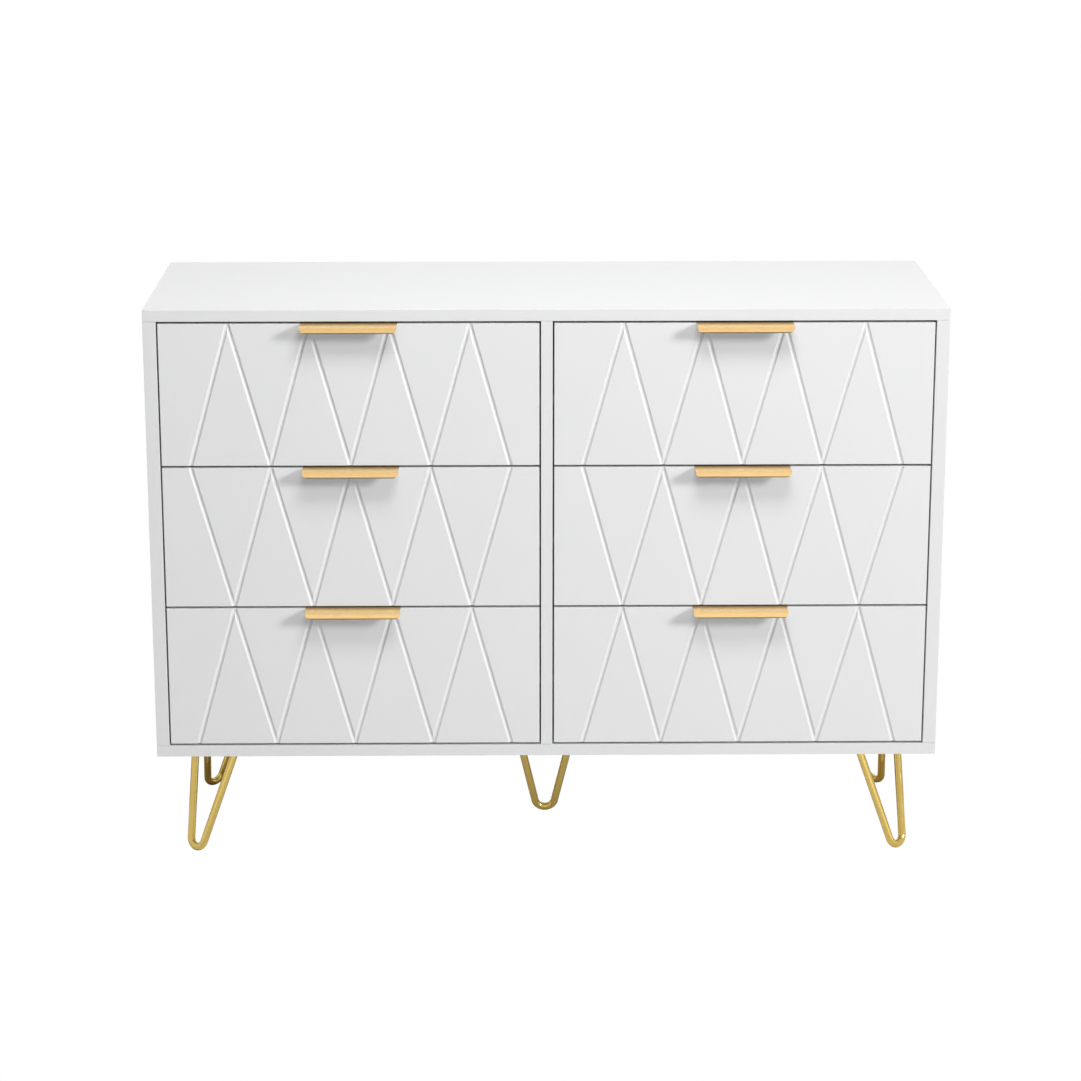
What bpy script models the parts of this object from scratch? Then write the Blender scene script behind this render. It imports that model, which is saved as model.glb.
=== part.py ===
"""Six-drawer dresser on hairpin legs. Metres, +Z up, the drawers open towards -Y.

The origin is on the floor under the middle of the whole object, handles included, so the carcass
front stands HANDLE_REACH behind the foremost plane. Each drawer hangs under an empty of its own, and
its pieces are placed in that empty's frame: X across, Y into the carcass from the face of the drawer
front, Z up from the bottom edge of the drawer front.
"""

import math

import bmesh
import bpy
from mathutils import Matrix

# The whole object
WIDTH = 1.100
DEPTH = 0.400
HEIGHT = 0.800
LEG_HEIGHT = 0.160
CLEARANCE = 0.0003  # between pieces that touch
EASED_EDGE = 0.0005  # the small chamfer on every board

# Carcass boards
BOARD = 0.016
SIDE_BOARD = 0.018
THIN_BOARD = 0.003
THIN_BOARD_GROOVE = 0.005
BACK_INSET = 0.012

# Drawers
ROWS = ("bottom", "middle", "top")
COLUMNS = {"left": -1, "right": 1}
SIDE_REVEAL = 0.0022  # the gap left and right of a drawer front
ROW_REVEAL = 0.0032  # the gap above and below it
BOX_SIDE = 0.015
BOX_BACK = 0.012
BOX_LENGTH = 0.330
BOX_HEIGHT = 0.150
BOX_RISE = 0.012  # from the front's bottom edge to the box
BOX_PLAY = 0.0025  # between the box and the board beside it
BOTTOM_RISE = 0.008  # from the box's lower edge to the bottom board

# The zigzag cut in a drawer front, with a round-nosed cutter
GROOVE_STEPS = 8
GROOVE_STEP = 0.055
GROOVE_RADIUS = 0.0035
GROOVE_DEPTH = 0.0022

# Runners, and the grooves in the box sides that slide on them
RUNNER_LENGTH = 0.300
RUNNER_SETBACK = 0.020
RUNNER_HEIGHT = 0.016
RUNNER_GROOVE_HEIGHT = 0.017
RUNNER_GROOVE_DEPTH = 0.0086
RUNNER_END_GAP = 0.0006  # from the runner's face to the bottom of its groove
RUNNER_HOLE_RADIUS = 0.002
RUNNER_HOLE_SPACING = 0.224

# Handles: a bent strip over the top edge of the drawer front
HANDLE_LENGTH = 0.132
HANDLE_REACH = 0.025
HANDLE_SHEET = 0.0015
HANDLE_LIP = 0.0095
HANDLE_BEND = 0.002  # outer radius in front
HANDLE_FOLD = 0.0018  # outer radius behind, tight to the board's corner
HANDLE_CORNER = 0.0082
HANDLE_BACK = 0.018
HANDLE_PROUD = 0.0002  # of the drawer front's top edge

# Hairpin legs: a bent rod under a screwed plate
ROD_RADIUS = 0.0055
ROD_BEND = 0.0148
ROD_HALF_ANGLE = math.radians(11.8)
LEG_TILT = math.radians(15.8)
LEG_INSET_X = 0.075
LEG_INSET_Y = 0.080
CENTRE_LEG_SETBACK = 0.168
PLATE = (0.120, 0.046, 0.003)
PLATE_CORNER = 0.006
PLATE_HOLE_RADIUS = 0.00275
PLATE_HOLES = (0.022, 0.014)

# Worked out from the sizes above
FRONT_Y = -DEPTH / 2 + HANDLE_REACH
BACK_Y = DEPTH / 2
CARCASS_DEPTH = BACK_Y - FRONT_Y
INNER_HEIGHT = HEIGHT - LEG_HEIGHT - 2 * BOARD
OPENING = (WIDTH - 2 * SIDE_BOARD - BOARD) / 2
COLUMN_X = (BOARD + OPENING) / 2
FRONT_WIDTH = OPENING - 2 * SIDE_REVEAL
FRONT_HEIGHT = (INNER_HEIGHT - (len(ROWS) + 1) * ROW_REVEAL) / len(ROWS)
BOX_WIDTH = OPENING - 2 * BOX_PLAY
RUNNER_GROOVE_TOP = BOX_RISE + (BOX_HEIGHT + RUNNER_GROOVE_HEIGHT) / 2
BACK_PANEL_Y = BACK_Y - BACK_INSET - THIN_BOARD / 2


def clear_scene():
    for leftover in list(bpy.data.objects):
        bpy.data.objects.remove(leftover, do_unlink=True)


def new_collection(name):
    collection = bpy.data.collections.new(name)
    bpy.context.scene.collection.children.link(collection)
    return collection


def new_material(name, color, roughness, metallic=0.0):
    material = bpy.data.materials.new(name)
    material.use_nodes = True
    shader = material.node_tree.nodes["Principled BSDF"]
    shader.inputs["Base Color"].default_value = (*color, 1.0)
    shader.inputs["Roughness"].default_value = roughness
    shader.inputs["Metallic"].default_value = metallic
    return material


clear_scene()
PARTS = new_collection("dresser")
CUTTERS = new_collection("cutters")
WHITE_BOARD = new_material("white_board", (0.86, 0.86, 0.86), 0.45)
WHITE_FRONT = new_material("white_front", (0.88, 0.88, 0.88), 0.40)
DRAWER_BOARD = new_material("drawer_board", (0.84, 0.84, 0.83), 0.50)
WHITE_HARDBOARD = new_material("white_hardboard", (0.80, 0.80, 0.79), 0.55)
GREY_RUNNER = new_material("grey_runner", (0.62, 0.62, 0.61), 0.45)
GOLD_HANDLE = new_material("gold_handle", (0.83, 0.60, 0.30), 0.32, 1.0)
GOLD_LEG = new_material("gold_leg", (0.70, 0.50, 0.16), 0.35, 1.0)


def finished(shape, name):
    """The bmesh as a mesh, and the bmesh freed."""
    mesh = bpy.data.meshes.new(name)
    shape.to_mesh(mesh)
    shape.free()
    return mesh


def box_mesh(name, size, chamfer=0.0):
    shape = bmesh.new()
    bmesh.ops.create_cube(shape, size=1.0)
    bmesh.ops.scale(shape, vec=size, verts=shape.verts)
    if chamfer:
        bmesh.ops.bevel(shape, geom=shape.edges[:], offset=chamfer, segments=1, affect="EDGES")
    return finished(shape, name)


def cylinder_mesh(name, radius, length, sides=24):
    shape = bmesh.new()
    bmesh.ops.create_cone(shape, cap_ends=True, segments=sides, radius1=radius, radius2=radius, depth=length)
    return finished(shape, name)


def prism_mesh(name, outline, thickness):
    """The outline's (x, z) points, as a plate of this thickness centred on y = 0."""
    shape = bmesh.new()
    face = shape.faces.new([shape.verts.new((x, -thickness / 2, z)) for x, z in outline])
    sides = bmesh.ops.extrude_face_region(shape, geom=[face])
    moved = [item for item in sides["geom"] if isinstance(item, bmesh.types.BMVert)]
    bmesh.ops.translate(shape, vec=(0, thickness, 0), verts=moved)
    bmesh.ops.recalc_face_normals(shape, faces=shape.faces)
    return finished(shape, name)


def place(name, mesh, location, material=None, parent=None, rotation=(0, 0, 0)):
    """A piece, or with no material a cutter."""
    piece = bpy.data.objects.new(name, mesh)
    piece.location = location
    piece.rotation_euler = rotation
    piece.parent = parent
    if material:
        mesh.materials.append(material)
        PARTS.objects.link(piece)
    else:
        piece.hide_render = True
        piece.display_type = "WIRE"
        CUTTERS.objects.link(piece)
    return piece


def board(name, size, centre, material, parent=None):
    return place(name, box_mesh(name, size, EASED_EDGE), centre, material, parent)


def cut(piece, cutter, operation="DIFFERENCE"):
    change = piece.modifiers.new(cutter.name, "BOOLEAN")
    change.operation = operation
    change.object = cutter


def slot_cutter(name, size, centre, parent=None):
    """What a groove needs to hold a board of this size: the board, grown by the clearance."""
    grown = [side + 2 * CLEARANCE for side in size]
    return place(name, box_mesh(name, grown), centre, parent=parent)


def build_carcass():
    middle_y = (FRONT_Y + BACK_Y) / 2
    middle_z = LEG_HEIGHT + BOARD + INNER_HEIGHT / 2
    flat = (WIDTH, CARCASS_DEPTH, BOARD)
    upright = INNER_HEIGHT - 2 * CLEARANCE
    top = board("top_panel", flat, (0, middle_y, HEIGHT - BOARD / 2), WHITE_BOARD)
    bottom = board("bottom_panel", flat, (0, middle_y, LEG_HEIGHT + BOARD / 2), WHITE_BOARD)
    divider_size = (BOARD, CARCASS_DEPTH, upright)
    divider = board("centre_divider", divider_size, (0, middle_y, middle_z), WHITE_BOARD)
    for side, direction in COLUMNS.items():
        side_size = (SIDE_BOARD, CARCASS_DEPTH, upright)
        side_x = direction * (WIDTH - SIDE_BOARD) / 2
        side_panel = board(f"{side}_side_panel", side_size, (side_x, middle_y, middle_z), WHITE_BOARD)
        reach = 2 * (THIN_BOARD_GROOVE - CLEARANCE)
        back_size = (OPENING + reach, THIN_BOARD, INNER_HEIGHT + reach)
        back_centre = (direction * COLUMN_X, BACK_PANEL_Y, middle_z)
        name = f"{side}_back_panel"
        place(name, box_mesh(name, back_size), back_centre, WHITE_HARDBOARD)
        groove = slot_cutter(f"{side}_back_groove", back_size, back_centre)
        for holder in (top, bottom, divider, side_panel):
            cut(holder, groove)


def rod_path():
    """Points of a hairpin's centre line: down one rod, round the bend and up the other.

    Each is (across, up along the leaning plane), from the lowest point of the bend.
    """
    top = (LEG_HEIGHT - ROD_RADIUS) / math.cos(LEG_TILT)
    tangent_across = ROD_BEND * math.cos(ROD_HALF_ANGLE)
    tangent_up = ROD_BEND * (1 - math.sin(ROD_HALF_ANGLE))
    top_across = tangent_across + (top - tangent_up) * math.tan(ROD_HALF_ANGLE)
    steps = 12
    sweep = math.pi - 2 * ROD_HALF_ANGLE
    bend = []
    for step in range(steps + 1):
        angle = -math.pi / 2 + sweep * (step / steps - 0.5)
        bend.append((ROD_BEND * math.cos(angle), ROD_BEND * (1 + math.sin(angle))))
    return [(-top_across, top), *bend, (top_across, top)]


def rod_mesh(name):
    """The bent rod, leaning towards -Y, under a mounting face at z = 0."""
    path = rod_path()
    top = path[0][1]
    curve = bpy.data.curves.new(name, "CURVE")
    curve.dimensions = "3D"
    curve.bevel_depth = ROD_RADIUS
    curve.bevel_resolution = 4
    curve.use_fill_caps = True
    spline = curve.splines.new("POLY")
    spline.points.add(len(path) - 1)
    for point, (across, up) in zip(spline.points, path):
        lean = -(top - up) * math.sin(LEG_TILT)
        rise = up * math.cos(LEG_TILT) + ROD_RADIUS - LEG_HEIGHT
        point.co = (across, lean, rise, 1)
    drawn = bpy.data.objects.new(name, curve)
    CUTTERS.objects.link(drawn)
    graph = bpy.context.evaluated_depsgraph_get()
    mesh = bpy.data.meshes.new_from_object(drawn.evaluated_get(graph))
    bpy.data.objects.remove(drawn)
    shape = bmesh.new()
    shape.from_mesh(mesh)
    bpy.data.meshes.remove(mesh)
    bmesh.ops.remove_doubles(shape, verts=shape.verts, dist=1e-5)
    # The foot stands on the floor: the rod's flats would leave its lowest edge just above it.
    lowest = min(vertex.co.z for vertex in shape.verts)
    bmesh.ops.translate(shape, vec=(0, 0, -LEG_HEIGHT - lowest), verts=shape.verts)
    return finished(shape, name)


def leg_mesh():
    """One hairpin leg in its own frame, its bent rod trimmed in its plate and welded to it."""
    shape = bmesh.new()
    bmesh.ops.create_cube(shape, size=1.0)
    bmesh.ops.scale(shape, vec=PLATE, verts=shape.verts)
    upright = [edge for edge in shape.edges if edge.verts[0].co.xy == edge.verts[1].co.xy]
    bmesh.ops.bevel(shape, geom=upright, offset=PLATE_CORNER, segments=4, affect="EDGES")
    plate_z = -CLEARANCE - PLATE[2] / 2
    plate = place("leg_plate", finished(shape, "leg_plate"), (0, 0, plate_z))
    rod = place("leg_rod", rod_mesh("leg_rod"), (0, 0, 0))
    trim_size = (2 * PLATE[0], 2 * PLATE[1], 2 * PLATE[1])
    trim = place("leg_rod_trim", box_mesh("leg_rod_trim", trim_size), (0, 0, plate_z + PLATE[1]))
    cut(rod, trim)
    cut(plate, rod, "UNION")
    helpers = [plate, rod, trim]
    for x in (-PLATE_HOLES[0], PLATE_HOLES[0]):
        for y in (-PLATE_HOLES[1], PLATE_HOLES[1]):
            drill = cylinder_mesh("leg_drill", PLATE_HOLE_RADIUS, 4 * PLATE[2], 16)
            hole = place("leg_hole", drill, (x, y, plate_z))
            cut(plate, hole)
            helpers.append(hole)
    graph = bpy.context.evaluated_depsgraph_get()
    mesh = bpy.data.meshes.new_from_object(plate.evaluated_get(graph))
    for helper in helpers:
        bpy.data.objects.remove(helper)
    mesh.transform(Matrix.Translation((0, 0, plate_z)))
    mesh.shade_smooth()
    mesh.set_sharp_from_angle(angle=math.radians(35))
    mesh.materials.append(GOLD_LEG)
    return mesh


def build_legs():
    """Five like legs. The corner ones lean out to their corners, the centre one leans to the back."""
    mesh = leg_mesh()
    x = WIDTH / 2 - LEG_INSET_X
    front = FRONT_Y + LEG_INSET_Y
    rear = BACK_Y - LEG_INSET_Y
    places = {
        "front_left_leg": (-x, front, -45),
        "front_right_leg": (x, front, 45),
        "rear_right_leg": (x, rear, 135),
        "rear_left_leg": (-x, rear, 225),
        "centre_leg": (0, FRONT_Y + CENTRE_LEG_SETBACK, 180),
    }
    for name, (leg_x, leg_y, turn) in places.items():
        leg = bpy.data.objects.new(name, mesh)
        leg.location = (leg_x, leg_y, LEG_HEIGHT)
        leg.rotation_euler = (0, 0, math.radians(turn))
        PARTS.objects.link(leg)


def build_runners(name, column_x, front_z):
    """The two runners of one drawer, on the boards beside it."""
    thickness = BOX_PLAY + RUNNER_GROOVE_DEPTH - RUNNER_END_GAP - CLEARANCE
    size = (thickness, RUNNER_LENGTH, RUNNER_HEIGHT)
    y = FRONT_Y + RUNNER_SETBACK + RUNNER_LENGTH / 2
    z = front_z + RUNNER_GROOVE_TOP - CLEARANCE - RUNNER_HEIGHT / 2
    for side, direction in COLUMNS.items():
        x = column_x + direction * (OPENING / 2 - CLEARANCE - thickness / 2)
        runner = board(f"{name}_runner_{side}", size, (x, y, z), GREY_RUNNER)
        for offset in (-RUNNER_HOLE_SPACING / 2, RUNNER_HOLE_SPACING / 2):
            drill = cylinder_mesh("runner_drill", RUNNER_HOLE_RADIUS, 2 * thickness, 12)
            turned = (0, math.radians(90), 0)
            cut(runner, place("runner_hole", drill, (x, y + offset, z), rotation=turned))


def cut_zigzag(front, drawer, starts_low):
    """Shallow round grooves from edge to edge of the drawer front, each cut by a leaning round bar."""
    slant = math.atan2(GROOVE_STEP, FRONT_HEIGHT)
    length = 1.2 * math.hypot(GROOVE_STEP, FRONT_HEIGHT)
    bar = cylinder_mesh("groove_bar", GROOVE_RADIUS, length)
    bar_y = GROOVE_DEPTH - GROOVE_RADIUS
    for step in range(GROOVE_STEPS):
        x = (step - (GROOVE_STEPS - 1) / 2) * GROOVE_STEP
        rises = (step % 2 == 0) == starts_low
        lean = slant if rises else -slant
        centre = (x, bar_y, FRONT_HEIGHT / 2)
        cut(front, place("groove_cutter", bar, centre, parent=drawer, rotation=(0, lean, 0)))


def build_front(name, drawer, starts_low):
    front_size = (FRONT_WIDTH, BOARD, FRONT_HEIGHT)
    front = board(f"{name}_front", front_size, (0, BOARD / 2, FRONT_HEIGHT / 2), WHITE_FRONT, drawer)
    cut_zigzag(front, drawer, starts_low)
    notch_depth = HANDLE_SHEET + CLEARANCE - HANDLE_PROUD
    notch_size = (HANDLE_LENGTH + 2 * CLEARANCE, 2 * BOARD, 2 * notch_depth)
    notch_centre = (0, BOARD / 2, FRONT_HEIGHT)
    notch = box_mesh("handle_notch", notch_size)
    cut(front, place("handle_notch", notch, notch_centre, parent=drawer))
    return front


def build_box(name, drawer, front):
    """The box behind the drawer front. Its bottom board sits in grooves in all four boards round it."""
    box_z = BOX_RISE + BOX_HEIGHT / 2
    inner_width = BOX_WIDTH - 2 * BOX_SIDE
    box_start = BOARD + CLEARANCE
    box_end = BOARD + BOX_LENGTH
    side_size = (BOX_SIDE, box_end - box_start, BOX_HEIGHT)
    back_size = (inner_width - 2 * CLEARANCE, BOX_BACK, BOX_HEIGHT)
    back = board(f"{name}_back", back_size, (0, box_end - BOX_BACK / 2, box_z), DRAWER_BOARD, drawer)

    tongue = THIN_BOARD_GROOVE - CLEARANCE
    bottom_start = BOARD - tongue
    bottom_end = box_end - BOX_BACK + tongue
    bottom_size = (inner_width + 2 * tongue, bottom_end - bottom_start, THIN_BOARD)
    bottom_z = BOX_RISE + BOTTOM_RISE + THIN_BOARD / 2
    bottom_centre = (0, (bottom_start + bottom_end) / 2, bottom_z)
    place(f"{name}_bottom", box_mesh("bottom", bottom_size), bottom_centre, WHITE_HARDBOARD, drawer)
    bottom_groove = slot_cutter("bottom_groove", bottom_size, bottom_centre, drawer)
    cut(front, bottom_groove)
    cut(back, bottom_groove)

    for side, direction in COLUMNS.items():
        x = direction * (BOX_WIDTH - BOX_SIDE) / 2
        side_centre = (x, (box_start + box_end) / 2, box_z)
        side_board = board(f"{name}_side_{side}", side_size, side_centre, DRAWER_BOARD, drawer)
        cut(side_board, bottom_groove)
        groove_size = (2 * RUNNER_GROOVE_DEPTH, 1.2 * BOX_LENGTH, RUNNER_GROOVE_HEIGHT)
        groove_z = RUNNER_GROOVE_TOP - RUNNER_GROOVE_HEIGHT / 2
        groove_centre = (direction * BOX_WIDTH / 2, side_centre[1], groove_z)
        groove = box_mesh("runner_groove", groove_size)
        cut(side_board, place("runner_groove", groove, groove_centre, parent=drawer))


def arc(centre, radius, start, end, steps):
    """Points round the centre, from the start angle to the end angle in degrees."""
    points = []
    for step in range(steps + 1):
        angle = math.radians(start + (end - start) * step / steps)
        points.append((centre[0] + radius * math.cos(angle), centre[1] + radius * math.sin(angle)))
    return points


def handle_section():
    """The (y, z) points of the strip's outer face: up behind the front, over its edge and down the lip."""
    top = FRONT_HEIGHT + HANDLE_PROUD
    back_y = BOARD + CLEARANCE + HANDLE_SHEET
    rear_bend = arc((back_y - HANDLE_FOLD, top - HANDLE_FOLD), HANDLE_FOLD, 0, 90, 3)
    lip_bend = arc((HANDLE_BEND - HANDLE_REACH, top - HANDLE_BEND), HANDLE_BEND, 90, 180, 5)
    return [(back_y, top - HANDLE_BACK), *rear_bend, *lip_bend, (-HANDLE_REACH, top - HANDLE_LIP)]


def build_handle(name, drawer):
    shape = bmesh.new()
    row = [shape.verts.new((-HANDLE_LENGTH / 2, y, z)) for y, z in handle_section()]
    edges = [shape.edges.new(pair) for pair in zip(row, row[1:])]
    swept = bmesh.ops.extrude_edge_only(shape, edges=edges)
    moved = [item for item in swept["geom"] if isinstance(item, bmesh.types.BMVert)]
    bmesh.ops.translate(shape, vec=(HANDLE_LENGTH, 0, 0), verts=moved)
    handle = place(f"{name}_handle", finished(shape, "handle"), (0, 0, 0), GOLD_HANDLE, drawer)
    sheet = handle.modifiers.new("sheet", "SOLIDIFY")
    sheet.thickness = HANDLE_SHEET
    sheet.offset = 1
    sheet.use_even_offset = True

    # The lip's lower corners are round: each cutter is a square with a quarter disc left out.
    lip_end = FRONT_HEIGHT + HANDLE_PROUD - HANDLE_LIP
    beyond = 2 * HANDLE_SHEET
    for direction in COLUMNS.values():
        centre_x = HANDLE_LENGTH / 2 - HANDLE_CORNER
        rounding = arc((centre_x, lip_end + HANDLE_CORNER), HANDLE_CORNER, -90, 0, 6)
        outer = HANDLE_LENGTH / 2 + beyond
        below = lip_end - beyond
        outline = [*rounding, (outer, lip_end + HANDLE_CORNER), (outer, below), (centre_x, below)]
        mirrored = [(direction * x, z) for x, z in outline]
        corner = prism_mesh("lip_corner", mirrored, 4 * HANDLE_SHEET)
        cut(handle, place("lip_corner", corner, (0, -HANDLE_REACH, 0), parent=drawer))


def build_drawer(column, row_number):
    name = f"{column}_{ROWS[row_number]}_drawer"
    column_x = COLUMNS[column] * COLUMN_X
    front_z = LEG_HEIGHT + BOARD + ROW_REVEAL + row_number * (FRONT_HEIGHT + ROW_REVEAL)
    drawer = bpy.data.objects.new(name, None)
    drawer.location = (column_x, FRONT_Y, front_z)
    PARTS.objects.link(drawer)
    # Neighbouring rows are mirror images, so that their zigzags join into diamonds.
    front = build_front(name, drawer, starts_low=row_number % 2 == 0)
    build_box(name, drawer, front)
    build_handle(name, drawer)
    build_runners(name, column_x, front_z)


build_carcass()
build_legs()
for column_name in COLUMNS:
    for row_index in range(len(ROWS)):
        build_drawer(column_name, row_index)
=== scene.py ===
"""The looks of the white six-drawer dresser with gold handles and hairpin legs.

Everything is in metres, in the frame of the CAD model: the dresser stands on z = 0 and its drawers
open towards -Y. The carcass boards, drawer fronts, handles and legs are replaced by finer pieces. The
drawer boxes, back panels and runners stay as they are, with new materials.
"""

import math

import bmesh
import bpy
from mathutils import Matrix, Vector


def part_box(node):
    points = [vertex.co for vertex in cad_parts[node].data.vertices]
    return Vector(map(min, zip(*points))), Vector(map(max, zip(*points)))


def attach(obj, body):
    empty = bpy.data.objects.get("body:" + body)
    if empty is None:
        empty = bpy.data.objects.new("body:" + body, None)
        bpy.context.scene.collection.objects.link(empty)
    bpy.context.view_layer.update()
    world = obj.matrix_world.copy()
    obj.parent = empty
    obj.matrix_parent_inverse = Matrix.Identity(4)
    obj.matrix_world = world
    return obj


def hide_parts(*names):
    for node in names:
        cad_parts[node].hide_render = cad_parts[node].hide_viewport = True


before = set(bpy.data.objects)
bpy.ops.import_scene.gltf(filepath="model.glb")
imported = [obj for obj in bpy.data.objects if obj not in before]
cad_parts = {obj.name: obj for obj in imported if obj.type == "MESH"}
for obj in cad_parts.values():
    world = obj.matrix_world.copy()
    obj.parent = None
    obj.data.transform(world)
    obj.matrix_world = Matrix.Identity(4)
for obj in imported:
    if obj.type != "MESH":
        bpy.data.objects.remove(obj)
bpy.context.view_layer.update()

COLUMNS = {"left": -1, "right": 1}
ROWS = ("bottom", "middle", "top")
CLEARANCE = 0.0003  # the CAD model's gap between pieces that touch
MERGE_DISTANCE = 1e-6  # points closer than this become one
ROUND_SIDES = 24  # round a screw's head and round a screw hole
SMOOTH_ANGLE = math.radians(40)  # edges sharper than this stay sharp
BEVEL_ANGLE = math.radians(50)  # round_edges rounds the edges sharper than this

# Boards
BOARD_ROUNDING = 0.0005
BOARD_ROUNDING_STEPS = 3

# Drawer fronts: rounded round the face, with shallow round grooves in a zigzag
FACE_ROUNDING = 0.0007
REAR_ROUNDING = 0.0006
ROUNDING_STEPS = 4
GROOVE_STEPS = 8  # grooves side by side, each leaning the other way
GROOVE_STEP = 0.055  # width of the front that each one crosses
GROOVE_RADIUS = 0.0035
GROOVE_DEPTH = 0.0022
GROOVE_EASE = 0.0002  # radius of the rounded edge along a groove
GROOVE_WALL_STEPS = 4
GROOVE_EASE_STEPS = 3

# Handles: bent sheet, screwed behind the front, with a lip before it
HANDLE_SHEET = 0.0015
HANDLE_LIP = 0.0095  # height of the lip
HANDLE_BEND = 0.002  # outer radius between the top and the lip
HANDLE_CURL = 0.0035  # outer radius of the lip's rolled-in lower edge
HANDLE_CURL_TURN = 60  # degrees
HANDLE_FOLD = 0.0018  # outer radius between the top and the part behind the front
HANDLE_CORNER = 0.0082  # radius of the lip's corners
HANDLE_REAR_CORNER = 0.004
HANDLE_EDGE = 0.0007  # rounding of the sheet's own edges
HANDLE_EDGE_STEPS = 3
HANDLE_FOLD_STEPS = 6
HANDLE_BEND_STEPS = 12
HANDLE_CURL_STEPS = 8
HANDLE_CORNER_STEPS = 8
HANDLE_REAR_POINTS = 4
HANDLE_FLANGE_POINTS = 5
HANDLE_LIP_POINTS = 26
HANDLE_SCREW_SPACING = 0.096
# Painted shade: the handle gold is darkened where it faces down, standing in for the shade under the
# lip and the top
PAINTED_SHADE_GOLD = (0.16, 0.09, 0.02)
PAINTED_SHADE_START = 0.3  # how far down the gold faces where the painted shade starts
PAINTED_SHADE_END = 0.6  # and where the painted shade is darkest; 1 is straight down

# Legs
ROD_RADIUS = 0.0055
ROD_BEND = 0.0148  # radius of the centre line at the foot
ROD_HALF_ANGLE = math.radians(11.8)  # between each straight stretch and the leg's middle
LEG_TILT = math.radians(15.8)  # how far the leg leans, outwards at the corners
LEG_HEIGHT = 0.160
ROD_SIDES = 24
BEND_STEPS = 18
PLATE = (0.120, 0.046, 0.003)
PLATE_CORNER = 0.006
PLATE_CORNER_STEPS = 8
PLATE_EDGE = 0.0004
PLATE_EDGE_STEPS = 2
PLATE_HOLE_RADIUS = 0.00275
PLATE_HOLES = (0.022, 0.014)  # how far they are from the plate's middle, along it and across
WELD_RADIUS = 0.0016
WELD_RIPPLES = 15
WELD_RIPPLE_SHARE = 0.12  # of the bead's radius
WELD_STEPS = 60
WELD_SIDES = 8
LEG_TURNS = {  # degrees about the upright
    "front_left_leg": -45,
    "front_right_leg": 45,
    "rear_right_leg": 135,
    "rear_left_leg": 225,
    "centre_leg": 180,
}

# Screws and cam locks: radius and height of the head
LEG_SCREW = (0.0046, 0.0024)
HANDLE_SCREW = (0.0036, 0.0020)
RUNNER_SCREW = (0.0019, 0.0008)
CAM_LOCK = (0.0075, 0.0004)
CAM_SETBACK = 0.034  # behind the front end of the drawer's side
CAM_RISE = 0.030  # from its upper and lower edges
RUNNER_HOLE_SPACING = 0.224
HEAD_RIM = 0.35  # the upright rim's share of a head's height
DOME_STEPS = 6
RECESS_REACH = 0.52  # a recess's half length and half width, as shares of the head's radius
RECESS_HALF_WIDTH = 0.12

# Camera: where it stands and how it is turned
CAMERA_PLACE = (-0.0557, -4.2457, 1.5827)
CAMERA_DOWN = math.radians(15.225)
CAMERA_RIGHT = math.radians(0.662)
CAMERA_LENS = 101.3
SENSOR_WIDTH = 36.0

# Studio
FLOOR_RADIUS = 40.0
FLOOR_SIDES = 96
ROOM_LIGHT = 0.095  # how much light the room gives
ROOM_SHINE = 0.75  # how bright it looks in a reflection
FLOOR_SHINE = 0.38  # what a reflection shows of the far floor on top of its lit colour
SHINE_START = 0.7  # distance from the floor's middle where that begins
SHINE_END = 1.2  # and where it is whole
KEY_PLACE = (5.6, -4.2, 3.4)
KEY_SIZE = (1.6, 1.6)
KEY_POWER = 308.0
OVERHEAD_PLACE = (0.0, 1.3, 3.6)
OVERHEAD_SIZE = (4.5, 2.0)
OVERHEAD_POWER = 53.0
FRONT_PLACE = (0.2, -1.3, 2.7)
FRONT_SIZE = (1.2, 0.7)
FRONT_POWER = 29.5
BACK_FILL_PLACE = (0.3, 3.2, 0.45)  # the fills stay below the dresser's top, which they mustn't light
BACK_FILL_SIZE = (3.0, 0.6)
BACK_FILL_POWER = 28.0
SIDE_FILL_PLACE = (-3.4, 0.9, 0.45)
SIDE_FILL_SIZE = (1.6, 0.6)
SIDE_FILL_POWER = 27.0
CARD_LOW = (-4.0, 0.1, 0.0005)  # corners of the card of painted reflection, just above the floor
CARD_HIGH = (4.0, 2.0, 0.001)
DRESSER_MIDDLE = Vector((0.0, -0.1, 0.45))


# ---------------------------------------------------------------- materials

def link(material, source, target):
    material.node_tree.links.new(source, target)


def feed(material, source, target):
    """Link a socket to the target, or set the target to a number or a colour."""
    if isinstance(source, bpy.types.NodeSocket):
        link(material, source, target)
    elif isinstance(source, (int, float)):
        target.default_value = source
    else:
        target.default_value = (*source, 1.0)


def new_material(name, colour, roughness, metallic=0.0):
    """A Principled material and its shader node."""
    material = bpy.data.materials.new(name)
    material.use_nodes = True
    shader = material.node_tree.nodes["Principled BSDF"]
    shader.inputs["Base Color"].default_value = (*colour, 1.0)
    shader.inputs["Roughness"].default_value = roughness
    shader.inputs["Metallic"].default_value = metallic
    return material, shader


def noise(material, scale, stretch=(1, 1, 1), detail=2.0):
    """A noise over the piece, with this many waves a metre. Returns its output socket, 0 to 1."""
    nodes = material.node_tree.nodes
    place = nodes.new("ShaderNodeTexCoord")
    turn = nodes.new("ShaderNodeMapping")
    turn.inputs["Scale"].default_value = stretch
    texture = nodes.new("ShaderNodeTexNoise")
    texture.inputs["Scale"].default_value = scale
    texture.inputs["Detail"].default_value = detail
    link(material, place.outputs["Object"], turn.inputs["Vector"])
    link(material, turn.outputs["Vector"], texture.inputs["Vector"])
    return texture.outputs["Fac"]


def spread(material, source, low, high, start=0.3, end=0.7):
    """The source's range from start to end, spread from low to high. Returns its output socket.

    The default start and end suit a noise, most of whose values lie between them.
    """
    node = material.node_tree.nodes.new("ShaderNodeMapRange")
    node.inputs["From Min"].default_value = start
    node.inputs["From Max"].default_value = end
    feed(material, low, node.inputs["To Min"])
    feed(material, high, node.inputs["To Max"])
    link(material, source, node.inputs["Value"])
    return node.outputs["Result"]


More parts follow.
